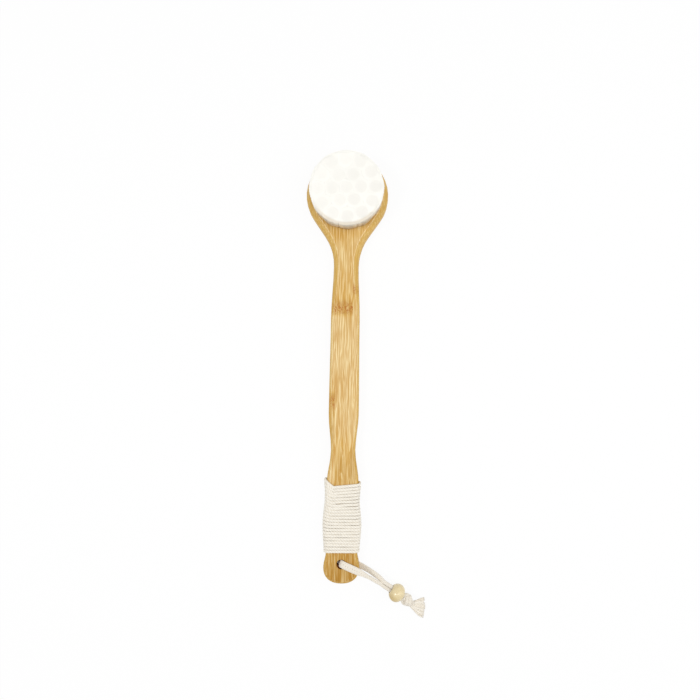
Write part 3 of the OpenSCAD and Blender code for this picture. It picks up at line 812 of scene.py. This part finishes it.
def bambooFinish(name, strip, shift):
    # patterns drawn out along the board, swaying a little: broad tones, fibres and short dark
    # dashes. Over them lie growth rings with specks, seams, painted shade on the bevels, a painted
    # highlight along the top edge, end grain and painted shade in the bore.
    f = Finish(name)
    x, y, z = f.spot()

    def grain(kind, x, z, detail=2.0, rough=0.5, start=0.0):
        across, along = bamboo["grain"][kind]
        return f.noise(f.join(x * across + start, y * along, z * across), 1.0, detail, rough)

    waver = grain("waver", x, z, start=shift) - 0.5
    xw, zw = x + waver * 5.0 + shift, z + waver * 2.0
    broad = grain("broad", xw, zw)
    fibre = grain("fibre", xw, zw, rough=0.55)
    fine = grain("fine", xw, zw, 1.0)
    dash = grain("dash", xw, zw, 1.0, 0.4, start=31.0)

    # golden tone along each strip, with painted shade below the pad and at the handle's end
    whole, richest = bamboo["long"], bamboo["richest"]
    stops = [(place / whole + 0.5, (goldWithShade / richest,) * 3 + (1.0,)) for place, goldWithShade in goldAndShade[strip]]
    goldWithShade = f.node("ValToRGB", {"stops": stops}, {0: y / whole + 0.5})[0]
    goldWithShade = f.node("RGBToBW", None, {0: goldWithShade})[0] * richest
    wavy = y + (fine - 0.5) * 9.0
    rings = growthRings[strip]
    ring = highest([(wavy - place).math("ABSOLUTE").band(reach, reach - 2.6) for place, reach in rings])
    around = highest([wavy.near(place, reach + 1.6) for place, reach in rings])
    speck = f.noise(f.join(xw * 0.85 + 7.0, y * 0.55, zw * 0.6), 1.0, 1.0).band(0.47, 0.55) * around

    streak = (fibre - 0.5) * 8.0 + (fine - 0.5) * 6.0
    share = (0.12 + goldWithShade * 0.62 + (broad - 0.5) * 0.35).limit()
    colour = f.node("ValToRGB", {"stops": bamboo["tones"]}, {0: share})[0]
    colour = f.mix(streak.limit() * (0.78 - goldWithShade * 0.28), colour, bamboo["pale"])
    colour = f.mix((streak * -1.0).limit() * (0.8 - goldWithShade * 0.2), colour, bamboo["deep"], "MULTIPLY")
    dark = (dash.band(0.55, 0.68) * 0.45 + ring * fibre.band(0.42, 0.62) * 0.4).limit()
    colour = f.mix(dark, colour, bamboo["fibre"])
    colour = f.mix(speck * 0.9, colour, bamboo["mark"])
    seam = highest([x.near(place, bamboo["seam"]) for place in bamboo["seams"]])
    colour = f.mix(seam * 0.25, colour, bamboo["fibre"])

    # painted shade on the bevels below the flat top, broken by pores
    edge = z.band(bamboo["face"] - 0.2, bamboo["face"] - 0.5)  # below the flat top
    pores = grain("pores", x, z, 1.0).band(0.5, 0.64)
    colour = f.mix(edge * (0.65 - pores * 0.4), colour, bamboo["bevel"])
    # a painted highlight along the top edge, dotted by pores and stronger over the head
    edgeHighlight = (z - (bamboo["face"] - 0.12)).math("ABSOLUTE").band(0.12, 0.02) * (0.4 + pores * 0.5)
    colour = f.mix(edgeHighlight * (y.band(60.0, 95.0) * 0.65 + 0.35), colour, bamboo["edgeHighlight"])
    facing = f.split(f.node("TexCoord")[1])
    endGrain = facing[1].math("ABSOLUTE").band(0.55, 0.85)
    colour = f.mix(endGrain * (0.15 + pores * 0.25), colour, bamboo["fibre"])
    # painted shade down the wall of the hole
    within = distance(x, y, loop["hole"]).band(*bamboo["bore"])
    sunk = z.band(bamboo["face"], bamboo["face"] - 0.8)
    colour = f.mix(within * sunk * 0.75, colour, bamboo["boreShade"])
    rough = 0.48 + (fibre - 0.5) * 0.12 + edge * 0.05
    relief = f.bump(fibre * 0.6 + fine * 0.4 - seam * 0.3, 0.00006, 0.35)
    gloss = {"Coat Weight": 0.06, "Coat Roughness": 0.3, "Specular IOR Level": 0.3}
    return f.close(colour, rough, relief, gloss)


def bristleFinish():
    # painted shade greys the middle of each tuft's cut ends, more so at one side of the pad, and
    # painted warm light from the wood lies among the roots
    f = Finish("soft white bristle")
    toneAndShade, level = f.value("toneAndShade"), f.value("level")
    x, y, z = f.spot()
    x, y = x - tufts["middle"][0], y - tufts["middle"][1]
    # the painted shade is heavier towards one side of the pad
    aside = (x - y).band(-48.0, 44.0)
    colour = f.mix(toneAndShade * (0.13 + aside * 0.28), tint(253, 252, 247), tint(236, 233, 227))
    # painted warm light from the wood among the roots and down the pad's wall
    colour = f.mix(level.band(1.0, 0.5) * 0.55, colour, tint(232, 202, 152))
    far = distance(x, y, (0.0, 0.0))  # light from the wood warms the rim over the neck too
    warm = far.band(31.4, 34.4) * (y / far * -1.0).band(0.35, 0.9)
    colour = f.mix(warm * 0.3, colour, tint(202, 170, 106))
    return f.close(colour, 0.6, None, {"Specular IOR Level": 0.1})


def cordFinish():
    # yarns, five to a ply, run with the plies; the grooves between the plies get painted shade
    f = Finish("wound cotton cord")
    u, v = f.lie()
    fuzz = f.noise(f.place(), 700.0, 3.0, 0.6)
    slub = f.noise(f.place(), 130.0)
    yarn = ((u - v) * (winding["plies"] * 5.0) + (fuzz - 0.5) * 0.5).wave()
    # painted shade in the ply grooves, with yarns and random tone
    shade = f.value("ply") ** 3.0 * 0.45 + (1 - yarn) * 0.16 + (fuzz - 0.5) * 0.35 + (slub - 0.5) * 0.3
    colour = f.mix(shade.limit(), tint(243, 238, 227), tint(202, 189, 166))
    return f.close(colour, 0.88, f.bump(yarn * 0.6 + fuzz * 0.7, 0.0001, 0.6), cotton)


def braidFinish(name, flecks):
    # flecks lie where slanting lines both ways cross: 4 rows across the tape, staggered
    f = Finish(name)
    u, v = f.lie()
    fuzz = f.noise(f.place(), 900.0, 3.0, 0.6)
    yarn = (u * 60.0 + v * 7.0 + fuzz).wave()
    one = ((u * 4.0 + v + (fuzz - 0.5) * 0.5) * math.pi).math("SINE").math("ABSOLUTE")
    two = ((u * 4.0 - v) * math.pi).math("SINE").math("ABSOLUTE")
    fleck = one.band(0.5, 0.2) * two.band(0.5, 0.2)
    shade = ((1 - yarn) * 0.12 + (fuzz - 0.5) * 0.4).limit()
    colour = f.mix(shade, tint(234, 227, 214), tint(204, 192, 171))
    colour = f.mix(fleck * flecks, colour, tint(158, 132, 100))
    return f.close(colour, 0.88, f.bump(yarn * 0.3 + fuzz - fleck, 0.0001, 0.5), cotton)


def strandFinish():
    f = Finish("loose cotton strands")
    # random tones of locks and strands, and painted shade on the core deeper down
    shade = (f.value("toneAndShade") * 0.8 + (f.noise(f.place(), 500.0) - 0.5) * 0.3).limit()
    colour = f.mix(shade, tint(246, 241, 231), tint(226, 216, 198))
    return f.close(colour, 0.85, None, {**cotton, "Sheen Weight": 0.25})


def beadFinish():
    # year rings and pores in a block of wood turned against the cord; painted shade darkens
    # the lower left side of the bead
    f = Finish("polished pale wood")
    block = f.moved(f.place(), shift=tuple(-beadSpot * mm))
    block = f.moved(block, turn=(0.3, 0.5, math.radians(62)))
    x, y, z = (part * 1000.0 for part in f.split(block))
    bow = f.noise(f.join(x * 0.12, y * 0.03, z * 0.12), 1.0, 1.0)
    rings = ((x * 0.5 + bow * 5.0) * 0.42).wave()
    pores = f.noise(f.join(x * 2.2, y * 0.25, z * 2.2), 1.0, 2.0, 0.55)
    shade = (rings * 0.18 + (pores - 0.5) * 0.5 + 0.35).limit()
    colour = f.mix(shade, tint(230, 214, 173), tint(211, 190, 138))
    x, y, z = f.spot()
    # painted shade on the bead's lower left side
    low = (x - float(beadSpot[0])) * -0.62 + (y - float(beadSpot[1])) * -0.78
    shadedSide = (low + bow * 2.0).band(1.0, 8.0)
    colour = f.mix(shadedSide * 0.8, colour, tint(192, 164, 96))
    gloss = {"Coat Weight": 0.7, "Coat Roughness": 0.14}
    return f.close(colour, 0.4 + (pores - 0.5) * 0.1, f.bump(pores, 0.00004, 0.2), gloss)


def anchorFinish():
    f = Finish("anchor wire")
    grain = f.noise(f.moved(f.place(), scale=(300.0, 300.0, 3000.0)))
    colour = f.mix(grain, (0.55, 0.56, 0.57, 1), (0.75, 0.76, 0.77, 1))
    return f.close(colour, 0.35 + grain * 0.15, None, {"Metallic": 1.0})


# the table of golden tone and painted shade that each strip follows, and where its grain starts
strips = {"strip_left_edge": ("left", 60.0), "strip_left": ("left", 0.0), "strip_centre": ("centre", 20.0),
          "strip_right": ("right", 40.0), "strip_right_edge": ("right", 80.0)}

for node, (strip, shift) in strips.items():
    dress(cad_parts[node], bambooFinish("bamboo of " + node.replace("_", " "), strip, shift))
dress(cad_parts["tuft_anchors"], anchorFinish())

bristle = bristleFinish()
for piece, word in zip(bristlePieces, tuftNames):
    dress(piece, bristle)
    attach(piece, "brush")
    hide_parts("tuft_" + word)

dress(windingPiece, cordFinish())
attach(windingPiece, "brush")
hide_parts("grip_wrap")

dress(loopCord, braidFinish("braided cotton tape", 0.5))
dress(knotPiece, braidFinish("tape pulled tight in the knot", 0.2))
dress(frayPiece, strandFinish())
for piece, node in ((loopCord, "hanging_cord"), (knotPiece, "knot"), (frayPiece, "frayed_ends")):
    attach(piece, "hang_loop")
    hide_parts(node)
dress(beadPiece, beadFinish())
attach(beadPiece, "bead")
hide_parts("bead")
print("pieces dressed")

# floor and light

# show is how far the bare floor glows white for the camera, and dim is how far from the hole
# that begins and is whole; lamps are a name, a place and a size in metres, and a power
studio = {"white": 0.9, "show": 0.92, "sky": 0.62, "plain": 1.0, "dim": (5.0, 11.0), "aim": (0.01, 0, 0),
          "lamps": [("soft_left", (-0.6, -0.06, 1.06), 0.28, 3.4),
                    ("soft_over", (0.22, -0.05, 1.19), 0.28, 1.8),
                    ("soft_right", (0.8, 0.05, 0.85), 1.2, 4.2)]}


def directRays(f):  # 1 for rays from the camera, also by way of gloss or glass
    path = f.node("LightPath")
    return highest([path[0], path[3], path[6]])


def makeFloor():
    # a flat round sheet, far wider than any shadow
    radii, sides = (0.02, 0.5, 3.0, 9.0), 96
    t = evenAngles(sides)
    rings = np.stack([np.stack([r * np.cos(t), r * np.sin(t), np.zeros(sides)], 1) for r in radii])
    quads = ringFaces(len(radii), sides)[:, ::-1]
    floor = putMesh("floor", rings.reshape(-1, 3), quads, [np.arange(sides)])
    f = Finish("white floor")
    paper = f.node("BsdfDiffuse", None, {"Color": (studio["white"],) * 3 + (1.0,)})[0]
    glow = f.node("Emission", None, {"Color": (1, 1, 1, 1), "Strength": 1.0})[0]
    x, y, z = f.spot()
    away = distance(x, y, loop["hole"]).band(*studio["dim"])  # plain paper under the hole
    shown = f.node("MixShader", None, {0: directRays(f) * away * studio["show"], 1: paper, 2: glow})[0]
    f.node("OutputMaterial", None, {"Surface": shown})
    dress(floor, f.owner)


def makeSky():  # a soft sky, which the camera and reflections see as plain white
    world = bpy.data.worlds.new("studio")
    bpy.context.scene.world = world
    f = Finish(world)
    white = (1, 1, 1, 1)
    sky, plain = (f.node("Background", None, {0: white, 1: studio[key]})[0] for key in ("sky", "plain"))
    both = f.node("MixShader", None, {0: directRays(f), 1: sky, 2: plain})[0]
    f.node("OutputWorld", None, {0: both})


makeFloor()
for name, place, size, power in studio["lamps"]:
    lamp = bpy.data.lights.new(name, "AREA")
    lamp.size, lamp.energy = size, power
    holder = bpy.data.objects.new(name, lamp)
    holder.location = place
    holder.rotation_euler = (Vector(studio["aim"]) - Vector(place)).to_track_quat("-Z", "Y").to_euler()
    bpy.context.scene.collection.objects.link(holder)
makeSky()
bpy.context.scene.view_settings.view_transform = "Standard"
print("studio lit")
